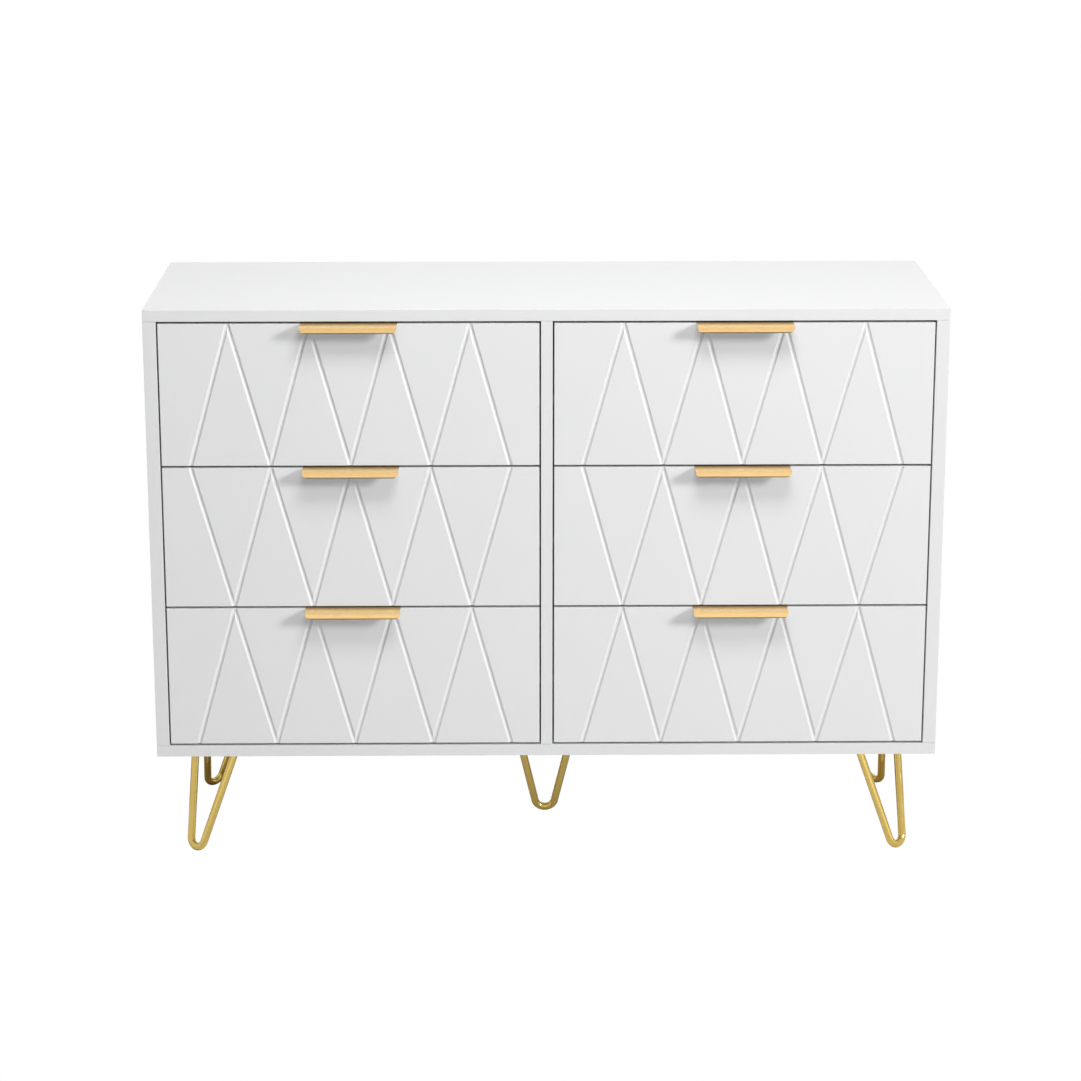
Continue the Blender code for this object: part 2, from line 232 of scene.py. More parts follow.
def vary_colour(material, shader, factor, first, second):
    """The base colour from first to second as the factor goes from 0 to 1. Returns that colour."""
    node = material.node_tree.nodes.new("ShaderNodeMix")
    node.data_type = "RGBA"
    feed(material, first, node.inputs["A"])
    feed(material, second, node.inputs["B"])
    link(material, factor, node.inputs["Factor"])
    link(material, node.outputs["Result"], shader.inputs["Base Color"])
    return node.outputs["Result"]


def facing_down(material, start, end):
    """0 where the surface faces down by less than start, 1 where by more than end. It masks the
    handles' painted shade.
    """
    nodes = material.node_tree.nodes
    split = nodes.new("ShaderNodeSeparateXYZ")
    link(material, nodes.new("ShaderNodeNewGeometry").outputs["Normal"], split.inputs["Vector"])
    down = nodes.new("ShaderNodeMath")
    down.operation = "MULTIPLY"
    down.inputs[1].default_value = -1.0
    link(material, split.outputs["Z"], down.inputs[0])
    return spread(material, down.outputs["Value"], 0.0, 1.0, start, end)


def add_bump(material, shader, height, depth):
    """Height 0 to 1 stands for this depth in metres."""
    bump = material.node_tree.nodes.new("ShaderNodeBump")
    bump.inputs["Strength"].default_value = 1.0
    bump.inputs["Distance"].default_value = depth
    link(material, height, bump.inputs["Height"])
    link(material, bump.outputs["Normal"], shader.inputs["Normal"])


def satin_lacquer():
    """The sprayed white of the drawer fronts, with a faint orange peel."""
    material, shader = new_material("satin_lacquer", (0.87, 0.87, 0.87), 0.42)
    vary_colour(material, shader, noise(material, 6), (0.865, 0.867, 0.87), (0.88, 0.88, 0.878))
    link(material, spread(material, noise(material, 90), 0.38, 0.46), shader.inputs["Roughness"])
    add_bump(material, shader, noise(material, 520, detail=1.0), 0.00003)
    return material


def pearl_melamine(name, colour, roughness):
    """White foil on particle board, with the fine pearl that such boards are pressed with."""
    material, shader = new_material(name, colour, roughness)
    darker = [0.985 * channel for channel in colour]
    vary_colour(material, shader, noise(material, 4), darker, colour)
    rough = spread(material, noise(material, 60), roughness - 0.04, roughness + 0.05)
    link(material, rough, shader.inputs["Roughness"])
    add_bump(material, shader, noise(material, 1400, detail=3.0), 0.00004)
    return material


def fibre_board():
    """Thin hardboard painted white, its fibres just showing."""
    material, shader = new_material("fibre_board", (0.82, 0.82, 0.81), 0.6)
    blotches = noise(material, 40, detail=6.0)
    vary_colour(material, shader, blotches, (0.79, 0.785, 0.77), (0.835, 0.835, 0.825))
    fibres = noise(material, 900, stretch=(1, 1, 0.35), detail=4.0)
    add_bump(material, shader, fibres, 0.00012)
    return material


def runner_plastic():
    """The moulded grey runners."""
    material, shader = new_material("runner_plastic", (0.62, 0.62, 0.61), 0.45)
    vary_colour(material, shader, noise(material, 30), (0.60, 0.60, 0.595), (0.645, 0.645, 0.635))
    add_bump(material, shader, noise(material, 1600), 0.00004)
    return material


def brushed_gold():
    """Anodised strip, brushed along its length, with painted shade that darkens it where it faces
    down.
    """
    material, shader = new_material("brushed_gold", (0.98, 0.66, 0.28), 0.26, metallic=0.55)
    lines = noise(material, 60, stretch=(0.4, 70, 70), detail=2.0)
    gold = vary_colour(material, shader, noise(material, 18), (0.96, 0.64, 0.265), (1.0, 0.68, 0.295))
    # Painted shade: dark brown wherever the gold faces down, under the lip's rolled edge and under the
    # top
    painted_shade = facing_down(material, PAINTED_SHADE_START, PAINTED_SHADE_END)
    vary_colour(material, shader, painted_shade, gold, PAINTED_SHADE_GOLD)
    link(material, spread(material, lines, 0.22, 0.30), shader.inputs["Roughness"])
    add_bump(material, shader, lines, 0.000003)
    return material


def plated_gold():
    """Brass-coloured plating on the bent rods."""
    material, shader = new_material("plated_gold", (0.78, 0.575, 0.17), 0.12, metallic=1.0)
    clouds = noise(material, 35, detail=4.0)
    vary_colour(material, shader, clouds, (0.74, 0.545, 0.155), (0.82, 0.605, 0.185))
    rough = spread(material, noise(material, 140, detail=4.0), 0.08, 0.16)
    link(material, rough, shader.inputs["Roughness"])
    add_bump(material, shader, noise(material, 260), 0.00003)
    return material


def zinc():
    """Screws and cam locks."""
    material, shader = new_material("zinc", (0.66, 0.67, 0.68), 0.35, metallic=1.0)
    spangle = noise(material, 250, detail=4.0)
    vary_colour(material, shader, spangle, (0.58, 0.59, 0.60), (0.74, 0.75, 0.76))
    link(material, spread(material, noise(material, 400), 0.28, 0.45), shader.inputs["Roughness"])
    return material


LACQUER = satin_lacquer()
CARCASS_WHITE = pearl_melamine("carcass_melamine", (0.86, 0.862, 0.865), 0.44)
BOX_WHITE = pearl_melamine("drawer_melamine", (0.84, 0.84, 0.832), 0.5)
HARDBOARD = fibre_board()
RUNNER = runner_plastic()
HANDLE_GOLD = brushed_gold()
LEG_GOLD = plated_gold()
ZINC = zinc()


# ---------------------------------------------------------------- mesh tools

def finished(shape, name):
    """The bmesh as a mesh, and the bmesh freed."""
    mesh = bpy.data.meshes.new(name)
    shape.to_mesh(mesh)
    shape.free()
    return mesh


def box_shape(low, high):
    shape = bmesh.new()
    bmesh.ops.create_cube(shape, size=1.0)
    size = [top - bottom for bottom, top in zip(low, high)]
    bmesh.ops.scale(shape, vec=size, verts=shape.verts)
    middle = [(top + bottom) / 2 for bottom, top in zip(low, high)]
    bmesh.ops.translate(shape, vec=middle, verts=shape.verts)
    return shape


def box_mesh(low, high):
    return finished(box_shape(low, high), "box")


def cutter_round(node):
    """A box that leaves the clearance all round a CAD node."""
    low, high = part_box(node)
    gap = Vector((CLEARANCE,) * 3)
    return box_mesh(low - gap, high + gap)


def loose_object(name, mesh):
    piece = bpy.data.objects.new(name, mesh)
    bpy.context.scene.collection.objects.link(piece)
    return piece


def applied(piece):
    """The piece's mesh with its modifiers, and the piece removed."""
    graph = bpy.context.evaluated_depsgraph_get()
    mesh = bpy.data.meshes.new_from_object(piece.evaluated_get(graph))
    bpy.data.objects.remove(piece)
    return mesh


def cut_away(mesh, cutter_meshes):
    """The mesh without what the cutters hold."""
    piece = loose_object("uncut", mesh)
    cutters = []
    for cutter_mesh in cutter_meshes:
        cutter = loose_object("cutter", cutter_mesh)
        change = piece.modifiers.new("cut", "BOOLEAN")
        change.object = cutter
        cutters.append(cutter)
    result = applied(piece)
    for cutter in cutters:
        bpy.data.objects.remove(cutter)
    return result


def joined(meshes, name):
    """One mesh of (mesh, matrix) pairs."""
    shape = bmesh.new()
    for mesh, matrix in meshes:
        copy = mesh.copy()
        copy.transform(matrix)
        shape.from_mesh(copy)
        bpy.data.meshes.remove(copy)
    return finished(shape, name)


def grid_faces(shape, rows):
    """Quads between rows of points, each row a list of bmesh vertices."""
    for lower, upper in zip(rows, rows[1:]):
        for first in range(len(lower) - 1):
            shape.faces.new((lower[first], lower[first + 1], upper[first + 1], upper[first]))


def ring_faces(shape, rings):
    """Quads between rings of points, each ring a closed loop of bmesh vertices."""
    for lower, upper in zip(rings, rings[1:]):
        for side in range(len(lower)):
            following = (side + 1) % len(lower)
            shape.faces.new((lower[side], lower[following], upper[following], upper[side]))


def round_edges(piece, width, steps):
    """Round the piece's sharp edges."""
    edge = piece.modifiers.new("edge", "BEVEL")
    edge.width = width
    edge.segments = steps
    edge.limit_method = "ANGLE"
    edge.angle_limit = BEVEL_ANGLE


def show(name, mesh, material, body, replaces=()):
    """A finished piece that rides on its body, smooth but for its sharp edges."""
    mesh.materials.clear()
    mesh.materials.append(material)
    mesh.shade_smooth()
    mesh.set_sharp_from_angle(angle=SMOOTH_ANGLE)
    piece = loose_object(name, mesh)
    normals = piece.modifiers.new("normals", "WEIGHTED_NORMAL")
    normals.keep_sharp = True
    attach(piece, body)
    if replaces:
        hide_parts(*replaces)
    return piece


# ---------------------------------------------------------------- carcass

def rounded_board(low, high):
    """A board with its edges just broken."""
    shape = box_shape(low, high)
    bmesh.ops.bevel(
        shape, geom=shape.edges[:], offset=BOARD_ROUNDING, segments=BOARD_ROUNDING_STEPS,
        profile=0.5, affect="EDGES",
    )
    return finished(shape, "board")


def build_carcass():
    """The boards, each with the grooves that hold the back panels."""
    for node in ("top_panel", "bottom_panel", "left_side_panel", "right_side_panel", "centre_divider"):
        grooves = [cutter_round(f"{column}_back_panel") for column in COLUMNS]
        board = cut_away(rounded_board(*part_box(node)), grooves)
        show(f"{node}_board", board, CARCASS_WHITE, "carcass", [node])


# ---------------------------------------------------------------- drawer fronts

CUTTER_AXIS = GROOVE_RADIUS - GROOVE_DEPTH  # from the face out to the round cutter's axis
EASE_CENTRE = math.sqrt((GROOVE_RADIUS + GROOVE_EASE) ** 2 - (CUTTER_AXIS + GROOVE_EASE) ** 2)
WALL_END = EASE_CENTRE * GROOVE_RADIUS / (GROOVE_RADIUS + GROOVE_EASE)
WALL_ANGLE = math.asin(WALL_END / GROOVE_RADIUS)


def groove_depth(distance):
    """How deep the face lies at this distance from a groove's centre line."""
    distance = abs(distance)
    if distance <= WALL_END:
        return math.sqrt(GROOVE_RADIUS**2 - distance**2) - CUTTER_AXIS
    if distance < EASE_CENTRE:
        return GROOVE_EASE - math.sqrt(GROOVE_EASE**2 - (EASE_CENTRE - distance) ** 2)
    return 0.0


def groove_offsets():
    """Distances from a groove's centre line at which the face needs a line of points."""
    half = []
    for step in range(1, GROOVE_WALL_STEPS + 1):
        half.append(GROOVE_RADIUS * math.sin(WALL_ANGLE * step / GROOVE_WALL_STEPS))
    for step in range(1, GROOVE_EASE_STEPS + 1):
        half.append(EASE_CENTRE - GROOVE_EASE * math.sin(WALL_ANGLE * (1 - step / GROOVE_EASE_STEPS)))
    return [-offset for offset in reversed(half)] + [0.0] + half


def rounding_offsets():
    """Distances from the front's edge at which its rounding needs a line of points."""
    angles = [math.pi / 2 * step / ROUNDING_STEPS for step in range(ROUNDING_STEPS + 1)]
    return [FACE_ROUNDING * (1 - math.cos(angle)) for angle in angles]


def rounding_depth(distance):
    """How deep the rounded rim lies at this distance from the front's edge."""
    if distance >= FACE_ROUNDING:
        return 0.0
    return FACE_ROUNDING - math.sqrt(FACE_ROUNDING**2 - (FACE_ROUNDING - distance) ** 2)


def face_rows(height, lean):
    """Heights of the rows of points: close at the edges, where neighbouring grooves run together."""
    lower = rounding_offsets()
    slope = GROOVE_STEP / height
    merging = [offset * lean / slope for offset in groove_offsets() if offset > 0]
    lower += [rise for rise in merging if rise > FACE_ROUNDING]
    return lower + [height / 2] + [height - rise for rise in reversed(lower)]


def face_columns(share, width, lean, starts_low):
    """(x, depth of the groove) along one row, at this share of the front's height."""
    columns = [(offset - width / 2, 0.0) for offset in rounding_offsets()]
    for step in range(GROOVE_STEPS):
        left = (step - GROOVE_STEPS / 2) * GROOVE_STEP
        right = left + GROOVE_STEP
        rises = (step % 2 == 0) == starts_low
        centre = left + GROOVE_STEP * (share if rises else 1 - share)
        # A groove ends at the upright plane in which it meets the next one.
        first = left if step > 0 else -width
        last = right if step < GROOVE_STEPS - 1 else width
        for offset in groove_offsets():
            x = min(max(centre + offset * lean, first), last)
            columns.append((x, groove_depth((x - centre) / lean)))
    columns += [(width / 2 - offset, 0.0) for offset in reversed(rounding_offsets())]
    return columns


def front_shape(width, height, thickness, starts_low):
    """The drawer front with its face at y = 0, centred on x = 0, its lower edge at z = 0."""
    lean = math.hypot(GROOVE_STEP, height) / height
    shape = bmesh.new()
    rows = []
    for z in face_rows(height, lean):
        row = []
        for x, depth in face_columns(z / height, width, lean, starts_low):
            edge = min(z, height - z, width / 2 - abs(x))
            row.append(shape.verts.new((x, max(depth, rounding_depth(edge)), z)))
        rows.append(row)
    grid_faces(shape, rows)
    bmesh.ops.remove_doubles(shape, verts=shape.verts, dist=MERGE_DISTANCE)
    close_behind(shape, width, height, thickness)
    bmesh.ops.remove_doubles(shape, verts=shape.verts, dist=MERGE_DISTANCE)
    bmesh.ops.recalc_face_normals(shape, faces=shape.faces)
    return shape


def close_behind(shape, width, height, thickness):
    """The front's edges and its rounded back, from the rim of the face."""
    steps = [(0.0, REAR_ROUNDING)]
    for step in range(1, ROUNDING_STEPS + 1):
        angle = math.pi / 2 * step / ROUNDING_STEPS
        steps.append((REAR_ROUNDING * (1 - math.cos(angle)), REAR_ROUNDING * (1 - math.sin(angle))))
    rim = [edge for edge in shape.edges if edge.is_boundary]
    for inset, short in steps:
        ring = bmesh.ops.extrude_edge_only(shape, edges=rim)["geom"]
        rim = [item for item in ring if isinstance(item, bmesh.types.BMEdge)]
        for vertex in [item for item in ring if isinstance(item, bmesh.types.BMVert)]:
            across = width / 2 - inset
            vertex.co.x = min(max(vertex.co.x, -across), across)
            vertex.co.y = thickness - short
            vertex.co.z = min(max(vertex.co.z, inset), height - inset)
    bmesh.ops.edgeloop_fill(shape, edges=rim)


def build_front(drawer, starts_low):
    """The grooved front, notched for its handle and grooved behind for the drawer's bottom."""
    node = f"{drawer}_front"
    low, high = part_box(node)
    width, thickness, height = high - low
    shape = front_shape(width, height, thickness, starts_low)
    bmesh.ops.translate(shape, vec=((low.x + high.x) / 2, low.y, low.z), verts=shape.verts)
    handle_low, handle_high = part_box(f"{drawer}_handle")
    notch_floor = handle_high.z - HANDLE_SHEET - CLEARANCE
    notch = box_mesh(
        (handle_low.x - CLEARANCE, low.y - thickness, notch_floor),
        (handle_high.x + CLEARANCE, high.y + thickness, high.z + thickness),
    )
    mesh = cut_away(finished(shape, node), [notch, cutter_round(f"{drawer}_bottom")])
    show(f"{node}_panel", mesh, LACQUER, drawer, [node])


# ---------------------------------------------------------------- handles

def arc(centre, radius, start, end, steps):
    """Points round the centre, from the start angle to the end angle in degrees."""
    points = []
    for step in range(steps + 1):
        angle = math.radians(start + (end - start) * step / steps)
        points.append((centre[0] + radius * math.cos(angle), centre[1] + radius * math.sin(angle)))
    return points


def trimmed(path, end_z):
    """The (y, z) path up to where it first comes down to this height."""
    kept = [path[0]]
    for (y, z), (next_y, next_z) in zip(path, path[1:]):
        if next_z > end_z:
            kept.append((next_y, next_z))
            continue
        share = (z - end_z) / (z - next_z) if z > next_z else 1.0
        kept.append((y + (next_y - y) * share, end_z))
        break
    return kept


def resampled(path, count):
    """Count (y, z) points at even distances along the path."""
    lengths = [0.0]
    for first, second in zip(path, path[1:]):
        lengths.append(lengths[-1] + math.dist(first, second))
    points = []
    piece = 0
    for step in range(count):
        wanted = lengths[-1] * step / (count - 1)
        while piece < len(path) - 2 and lengths[piece + 1] < wanted:
            piece += 1
        span = lengths[piece + 1] - lengths[piece]
        share = (wanted - lengths[piece]) / span if span else 0.0
        first, second = path[piece], path[piece + 1]
        y = first[0] + (second[0] - first[0]) * share
        z = first[1] + (second[1] - first[1]) * share
        points.append((y, z))
    return points


def corner_rise(x, half_length, radius):
    """How far a rounded corner lifts the strip's end at this place along it."""
    past = abs(x) - (half_length - radius)
    if past <= 0:
        return 0.0
    return radius - math.sqrt(max(radius**2 - past**2, 0.0))


def handle_columns(half_length):
    """Places along the strip that need a column of points, closest together at its rounded corners."""
    columns = []
    for radius in (HANDLE_CORNER, HANDLE_REAR_CORNER):
        for step in range(HANDLE_CORNER_STEPS + 1):
            angle = math.pi / 2 * step / HANDLE_CORNER_STEPS
            columns.append(half_length - radius * (1 - math.sin(angle)))
    right = sorted({round(x, 7) for x in columns})
    middle = [half_length * share for share in (-0.6, -0.2, 0.2, 0.6)]
    return [-x for x in reversed(right)] + middle + right


def handle_surface(low, high):
    """The strip's outer face: up behind the front, over its edge and down the lip."""
    half_length = (high.x - low.x) / 2
    centre_x = (low.x + high.x) / 2
    top = high.z
    fold_centre = (high.y - HANDLE_FOLD, top - HANDLE_FOLD)
    rear_bend = arc(fold_centre, HANDLE_FOLD, 0, 90, HANDLE_FOLD_STEPS)
    bend_centre = (low.y + HANDLE_BEND, top - HANDLE_BEND)
    lip_bend = arc(bend_centre, HANDLE_BEND, 90, 180, HANDLE_BEND_STEPS)
    curl_z = top - HANDLE_LIP + HANDLE_CURL * math.sin(math.radians(HANDLE_CURL_TURN))
    curl_centre = (low.y + HANDLE_CURL, curl_z)
    curl = arc(curl_centre, HANDLE_CURL, 180, 180 + HANDLE_CURL_TURN, HANDLE_CURL_STEPS)
    shape = bmesh.new()
    rows = []
    for x in handle_columns(half_length):
        rear_end = low.z + corner_rise(x, half_length, HANDLE_REAR_CORNER)
        lip_end = top - HANDLE_LIP + corner_rise(x, half_length, HANDLE_CORNER)
        rear = resampled([(high.y, rear_end), rear_bend[0]], HANDLE_REAR_POINTS)[:-1] + rear_bend
        flange = resampled([rear_bend[-1], lip_bend[0]], HANDLE_FLANGE_POINTS)[1:-1]
        lip = resampled(trimmed([*lip_bend, *curl], lip_end), HANDLE_LIP_POINTS)
        rows.append([shape.verts.new((centre_x + x, y, z)) for y, z in [*rear, *flange, *lip]])
    grid_faces(shape, rows)
    return shape


def build_handle(drawer):
    """The strip's outer face, thickened to sheet, with its edges rounded."""
    node = f"{drawer}_handle"
    strip = loose_object("strip", finished(handle_surface(*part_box(node)), "strip"))
    sheet = strip.modifiers.new("sheet", "SOLIDIFY")
    sheet.thickness = HANDLE_SHEET
    sheet.offset = -1
    sheet.use_even_offset = True
    round_edges(strip, HANDLE_EDGE, HANDLE_EDGE_STEPS)
    piece = show(f"{node}_strip", applied(strip), HANDLE_GOLD, drawer, [node])
    piece.visible_diffuse = False  # so that it casts no gold glow on the white boards


# ---------------------------------------------------------------- screws and cam locks

def dome_shape(radius, height):
    """A low round head on z = 0: an upright rim under a flattened dome."""
    rim = HEAD_RIM * height
    profile = [(radius, 0.0), (radius, rim)]
    for step in range(1, DOME_STEPS):
        angle = math.pi / 2 * step / DOME_STEPS
        profile.append((radius * math.cos(angle), rim + (height - rim) * math.sin(angle)))
    turns = [2 * math.pi * side / ROUND_SIDES for side in range(ROUND_SIDES)]
    shape = bmesh.new()
    rings = []
    for distance, z in profile:
        circle = [(distance * math.cos(turn), distance * math.sin(turn), z) for turn in turns]
        rings.append([shape.verts.new(point) for point in circle])
    ring_faces(shape, rings)
    shape.faces.new(rings[-1])
    shape.faces.new(list(reversed(rings[0])))
    return shape


def cross_head(radius, height):
    """A head with a cross recess, cut down to the top of its rim."""
    arms = []
    reach = RECESS_REACH * radius
    half_width = RECESS_HALF_WIDTH * radius
    for across, along in ((reach, half_width), (half_width, reach)):
        arms.append(box_mesh((-across, -along, HEAD_RIM * height), (across, along, 2 * height)))
    return cut_away(finished(dome_shape(radius, height), "head"), arms)


def facing(direction, place, turn):
    """The matrix that points a head's +Z along the direction and puts it in place.

    The turn, in radians about that direction, keeps the recesses of neighbouring heads out of line.
    """
    rotation = Vector(direction).to_track_quat("Z", "Y").to_matrix().to_4x4()
    return Matrix.Translation(place) @ rotation @ Matrix.Rotation(turn, 4, "Z")


def build_handle_screws(drawer):
    """Two screws through the part of the handle that lies behind the front."""
    low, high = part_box(f"{drawer}_handle")
    head = cross_head(*HANDLE_SCREW)
    z = (low.z + high.z) / 2 - HANDLE_SHEET
    places = []
    for direction in COLUMNS.values():
        x = (low.x + high.x) / 2 + direction * HANDLE_SCREW_SPACING / 2
        places.append((head, facing((0, 1, 0), (x, high.y, z), turn=0.4 * direction)))
    show(f"{drawer}_handle_screws", joined(places, "screws"), ZINC, drawer)


def build_cam_locks(drawer):
    """Round locks in the outer faces of the box sides, which pull them against the front."""
    head = cross_head(*CAM_LOCK)
    places = []
    for side, direction in COLUMNS.items():
        low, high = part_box(f"{drawer}_side_{side}")
        x = high.x if direction > 0 else low.x
        for z in (low.z + CAM_RISE, high.z - CAM_RISE):
            places.append((head, facing((direction, 0, 0), (x, low.y + CAM_SETBACK, z), turn=z)))
    show(f"{drawer}_cam_locks", joined(places, "cam_locks"), ZINC, drawer)


def build_runner_screws(drawer):
    """Two screws through each runner into the carcass, their heads sunk in its holes."""
    head = cross_head(*RUNNER_SCREW)
    places = []
    for side, direction in COLUMNS.items():
        low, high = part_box(f"{drawer}_runner_{side}")
        face_x = low.x if direction > 0 else high.x
        x = face_x + direction * (RUNNER_SCREW[1] + CLEARANCE)
        for offset in (-RUNNER_HOLE_SPACING / 2, RUNNER_HOLE_SPACING / 2):
            place = (x, (low.y + high.y) / 2 + offset, (low.z + high.z) / 2)
            places.append((head, facing((-direction, 0, 0), place, turn=30 * offset)))
    show(f"{drawer}_runner_screws", joined(places, "screws"), ZINC, "carcass")


# ---------------------------------------------------------------- legs

def rod_points():
    """(across, up along the leaning plane) of the rod's centre line, from the bend's lowest point."""
    top = (LEG_HEIGHT - ROD_RADIUS) / math.cos(LEG_TILT)
    tangent_across = ROD_BEND * math.cos(ROD_HALF_ANGLE)
    tangent_up = ROD_BEND * (1 - math.sin(ROD_HALF_ANGLE))
    top_across = tangent_across + (top - tangent_up) * math.tan(ROD_HALF_ANGLE)
    sweep = math.pi - 2 * ROD_HALF_ANGLE
    bend = []
    for step in range(BEND_STEPS + 1):
        angle = -math.pi / 2 + sweep * (step / BEND_STEPS - 0.5)
        bend.append((ROD_BEND * math.cos(angle), ROD_BEND * (1 + math.sin(angle))))
    return [(-top_across, top), *bend, (top_across, top)]


def in_leg_frame(across, up, top):
    """A point of the leaning plane, under a mounting face at z = 0."""
    lean = -(top - up) * math.sin(LEG_TILT)
    return Vector((across, lean, up * math.cos(LEG_TILT) + ROD_RADIUS - LEG_HEIGHT))


def rod_mesh():
    """The bent rod, swept round its centre line."""
    flat = rod_points()
    top = flat[0][1]
    points = [in_leg_frame(across, up, top) for across, up in flat]
    plane_normal = Vector((0, math.cos(LEG_TILT), -math.sin(LEG_TILT)))
    shape = bmesh.new()
    rings = []
    for index, point in enumerate(points):
        before = points[max(index - 1, 0)]
        after = points[min(index + 1, len(points) - 1)]
        tangent = (after - before).normalized()
        # Where a straight stretch meets the bend, the ring stays square to the straight.
        if index == 1:
            tangent = (point - before).normalized()
        if index == len(points) - 2:
            tangent = (after - point).normalized()
        outward = tangent.cross(plane_normal)
        ring = []
        for side in range(ROD_SIDES):
            angle = 2 * math.pi * side / ROD_SIDES
            offset = ROD_RADIUS * (math.cos(angle) * outward + math.sin(angle) * plane_normal)
            ring.append(shape.verts.new(point + offset))
        rings.append(ring)
    ring_faces(shape, rings)
    shape.faces.new(rings[0])
    shape.faces.new(rings[-1])
    bmesh.ops.recalc_face_normals(shape, faces=shape.faces)
    return finished(shape, "rod")


def weld_mesh(centre, slant):
    """A rippled bead round a rod where it meets the plate; the rod leans along the slant."""
    shape = bmesh.new()
    rings = []
    for step in range(WELD_STEPS):
        angle = 2 * math.pi * step / WELD_STEPS
        outward = Vector((math.cos(angle), math.sin(angle), 0))
        stretch = 1 + slant.length_squared * (outward.dot(slant.normalized())) ** 2 / 2
        contact = centre + outward * ROD_RADIUS * stretch
        thickness = WELD_RADIUS * (1 + WELD_RIPPLE_SHARE * math.sin(WELD_RIPPLES * angle))
        ring = []
        for side in range(WELD_SIDES):
            turn = 2 * math.pi * side / WELD_SIDES
            offset = outward * math.cos(turn) + Vector((0, 0, 1)) * math.sin(turn)
            ring.append(shape.verts.new(contact + thickness * offset))
        rings.append(ring)
    ring_faces(shape, [*rings, rings[0]])
    bmesh.ops.recalc_face_normals(shape, faces=shape.faces)
    return finished(shape, "weld")


def plate_hole_places():
    """(x, y) of the plate's four screw holes."""
    along, across = PLATE_HOLES
    return [(x, y) for x in (-along, along) for y in (-across, across)]


def plate_mesh():
    """The mounting plate, with round corners and four screw holes."""
    half = [side / 2 for side in PLATE]
    shape = box_shape((-half[0], -half[1], -CLEARANCE - PLATE[2]), (half[0], half[1], -CLEARANCE))
    upright = [edge for edge in shape.edges if edge.verts[0].co.xy == edge.verts[1].co.xy]
    bmesh.ops.bevel(
        shape, geom=upright, offset=PLATE_CORNER, segments=PLATE_CORNER_STEPS,
        profile=0.5, affect="EDGES",
    )
    holes = []
    for x, y in plate_hole_places():
        hole = bmesh.new()
        bmesh.ops.create_cone(
            hole, cap_ends=True, segments=ROUND_SIDES, radius1=PLATE_HOLE_RADIUS,
            radius2=PLATE_HOLE_RADIUS, depth=4 * PLATE[2], matrix=Matrix.Translation((x, y, 0)),
        )
        holes.append(finished(hole, "hole"))
    plate = loose_object("plate", cut_away(finished(shape, "plate"), holes))
    round_edges(plate, PLATE_EDGE, PLATE_EDGE_STEPS)
    return applied(plate)


def leg_mesh():
    """Rod, plate and welds in one mesh, hanging under a mounting face at z = 0."""
    flat = rod_points()
    top = flat[0][1]
    parts = [rod_mesh(), plate_mesh()]
    for end, bend in ((flat[0], flat[1]), (flat[-1], flat[-2])):
        foot, head = in_leg_frame(*bend, top), in_leg_frame(*end, top)
        along = (head - foot).normalized()
        drop = -CLEARANCE - PLATE[2]
        centre = head + along * (drop - head.z) / along.z
        slant = Vector((along.x, along.y, 0)) / along.z
        parts.append(weld_mesh(centre, slant))
    return joined([(part, Matrix.Identity(4)) for part in parts], "leg")


def standing_at(leg, node):
    """The matrix that turns the leg to its corner and puts it in the CAD node's box."""
    standing = Matrix.Rotation(math.radians(LEG_TURNS[node]), 4, "Z")
    turned = [standing @ vertex.co for vertex in leg.vertices]
    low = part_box(node)[0]
    shift_x = low.x - min(point.x for point in turned)
    shift_y = low.y - min(point.y for point in turned)
    return Matrix.Translation((shift_x, shift_y, LEG_HEIGHT)) @ standing


def build_legs():
    """Five like legs, each with four screws in its plate."""
    leg = leg_mesh()
    head = cross_head(*LEG_SCREW)
    for node in LEG_TURNS:
        place = standing_at(leg, node)
        hairpin = joined([(leg, place)], node)
        show(f"{node}_hairpin", hairpin, LEG_GOLD, "carcass", [node])
        screws = []
        for x, y in plate_hole_places():
            where = facing((0, 0, -1), (x, y, -CLEARANCE - PLATE[2]), turn=20 * x + 40 * y)
            screws.append((head, place @ where))
        show(f"{node}_screws", joined(screws, "screws"), ZINC, "carcass")


# ---------------------------------------------------------------- CAD pieces that stay

def repaint(node, material):
    """Give a CAD piece this material."""
    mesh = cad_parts[node].data
    mesh.materials.clear()
    mesh.materials.append(material)


def repaint_kept_pieces():
    for column in COLUMNS:
        repaint(f"{column}_back_panel", HARDBOARD)
        for row in ROWS:
            drawer = f"{column}_{row}_drawer"
            repaint(f"{drawer}_bottom", HARDBOARD)
            repaint(f"{drawer}_back", BOX_WHITE)
            for side in COLUMNS:
                repaint(f"{drawer}_side_{side}", BOX_WHITE)
                repaint(f"{drawer}_runner_{side}", RUNNER)


# ---------------------------------------------------------------- studio

def add_camera():
    data = bpy.data.cameras.new("camera")
    data.lens = CAMERA_LENS
    data.sensor_width = SENSOR_WIDTH
    camera = bpy.data.objects.new("camera", data)
    camera.location = CAMERA_PLACE
    camera.rotation_euler = (math.pi / 2 - CAMERA_DOWN, 0, -CAMERA_RIGHT)
    bpy.context.scene.collection.objects.link(camera)
    bpy.context.scene.camera = camera


def add_area_light(name, place, size, power, target=DRESSER_MIDDLE, mirrored=False):
    """A soft box, unseen by the camera. Unless mirrored, it leaves no highlight in any surface."""
    data = bpy.data.lights.new(name, "AREA")
    data.energy = power
    data.shape = "RECTANGLE"
    data.size, data.size_y = size
    light = bpy.data.objects.new(name, data)
    light.location = place
    light.rotation_euler = (target - Vector(place)).to_track_quat("-Z", "Y").to_euler()
    light.visible_camera = False
    light.visible_glossy = mirrored
    bpy.context.scene.collection.objects.link(light)


def seen_or_lighting(material, seen, lighting):
    """One strength where a reflection shows it, another where it only lights other surfaces."""
    rays = material.node_tree.nodes.new("ShaderNodeLightPath")
    return spread(material, rays.outputs["Diffuse Depth"], seen, lighting, start=0.0, end=1.0)


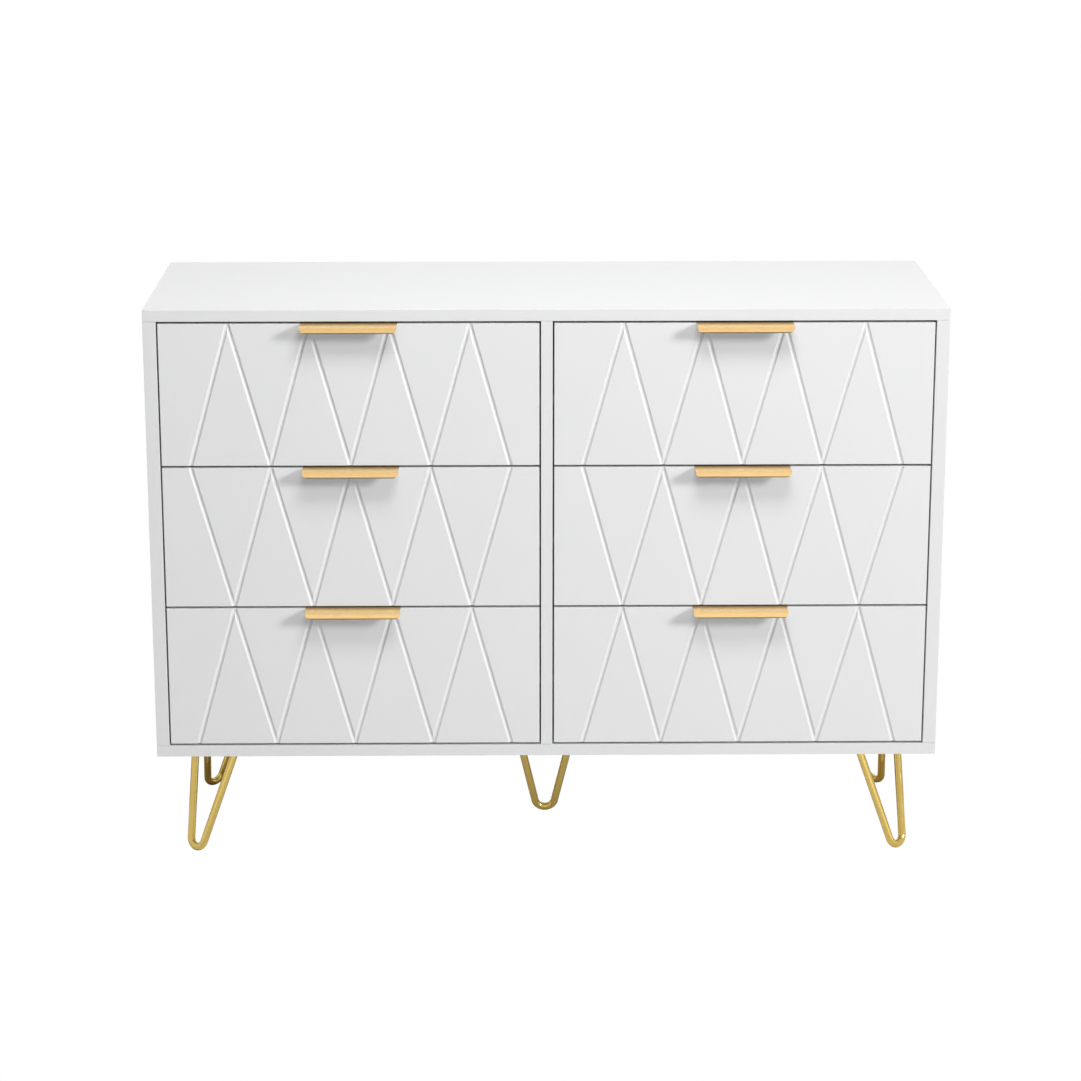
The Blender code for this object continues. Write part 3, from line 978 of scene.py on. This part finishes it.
def add_world():
    """The room round the dresser, plain white where the camera sees it."""
    world = bpy.data.worlds.new("studio")
    world.use_nodes = True
    nodes = world.node_tree.nodes
    background = nodes["Background"]
    background.inputs["Color"].default_value = (1, 1, 1, 1)
    rays = nodes.new("ShaderNodeLightPath")
    unseen = seen_or_lighting(world, ROOM_SHINE, ROOM_LIGHT)
    strength = spread(world, rays.outputs["Is Camera Ray"], unseen, 1.0, start=0.0, end=1.0)
    link(world, strength, background.inputs["Strength"])
    bpy.context.scene.world = world


def add_floor():
    """Plain and pale, and evenly white to the camera, like the paper sweep of a studio."""
    material, shader = new_material("pale_floor", (0.85, 0.85, 0.85), 0.9)
    vary_colour(material, shader, noise(material, 0.5), (0.84, 0.84, 0.84), (0.86, 0.86, 0.86))
    nodes = material.node_tree.nodes
    distance = nodes.new("ShaderNodeVectorMath")
    distance.operation = "LENGTH"
    link(material, nodes.new("ShaderNodeTexCoord").outputs["Object"], distance.inputs[0])
    far_shine = spread(material, distance.outputs["Value"], 0.0, FLOOR_SHINE, SHINE_START, SHINE_END)
    shine = seen_or_lighting(material, far_shine, 0.0)
    shader.inputs["Emission Color"].default_value = (1, 1, 1, 1)
    link(material, shine, shader.inputs["Emission Strength"])
    white = nodes.new("ShaderNodeEmission")
    choice = nodes.new("ShaderNodeMixShader")
    link(material, nodes.new("ShaderNodeLightPath").outputs["Is Camera Ray"], choice.inputs["Fac"])
    link(material, shader.outputs["BSDF"], choice.inputs[1])
    link(material, white.outputs["Emission"], choice.inputs[2])
    link(material, choice.outputs["Shader"], nodes["Material Output"].inputs["Surface"])
    shape = bmesh.new()
    bmesh.ops.create_circle(shape, cap_ends=True, segments=FLOOR_SIDES, radius=FLOOR_RADIUS)
    mesh = finished(shape, "floor")
    mesh.materials.append(material)
    loose_object("floor", mesh)


def add_painted_reflection_card():
    """A bronze card behind the legs that shows only in reflections. It is a painted reflection,
    standing in for the shaded floor under the dresser, and gives the rods their deep gold.
    """
    material, shader = new_material("painted_reflection_card", (0.51, 0.42, 0.245), 0.9)
    vary_colour(material, shader, noise(material, 3), (0.49, 0.40, 0.235), (0.53, 0.44, 0.255))
    mesh = box_mesh(CARD_LOW, CARD_HIGH)
    mesh.materials.append(material)
    card = loose_object("painted_reflection_card", mesh)
    # painted reflection: only glossy rays see the card
    card.visible_camera = False
    card.visible_diffuse = False
    card.visible_shadow = False


def add_studio():
    add_camera()
    add_world()
    add_floor()
    add_painted_reflection_card()
    add_area_light("key", KEY_PLACE, KEY_SIZE, KEY_POWER, mirrored=True)
    below = Vector((*OVERHEAD_PLACE[:2], 0))
    add_area_light("overhead", OVERHEAD_PLACE, OVERHEAD_SIZE, OVERHEAD_POWER, target=below)
    add_area_light("front", FRONT_PLACE, FRONT_SIZE, FRONT_POWER)
    add_area_light("back_fill", BACK_FILL_PLACE, BACK_FILL_SIZE, BACK_FILL_POWER)
    add_area_light("side_fill", SIDE_FILL_PLACE, SIDE_FILL_SIZE, SIDE_FILL_POWER)
    bpy.context.scene.view_settings.view_transform = "Standard"


# ---------------------------------------------------------------- the whole scene

def build_drawers():
    for column in COLUMNS:
        for row_number, row in enumerate(ROWS):
            drawer = f"{column}_{row}_drawer"
            build_front(drawer, starts_low=row_number % 2 == 0)
            build_handle(drawer)
            build_handle_screws(drawer)
            build_cam_locks(drawer)
            build_runner_screws(drawer)


add_studio()
build_carcass()
build_drawers()
build_legs()
repaint_kept_pieces()
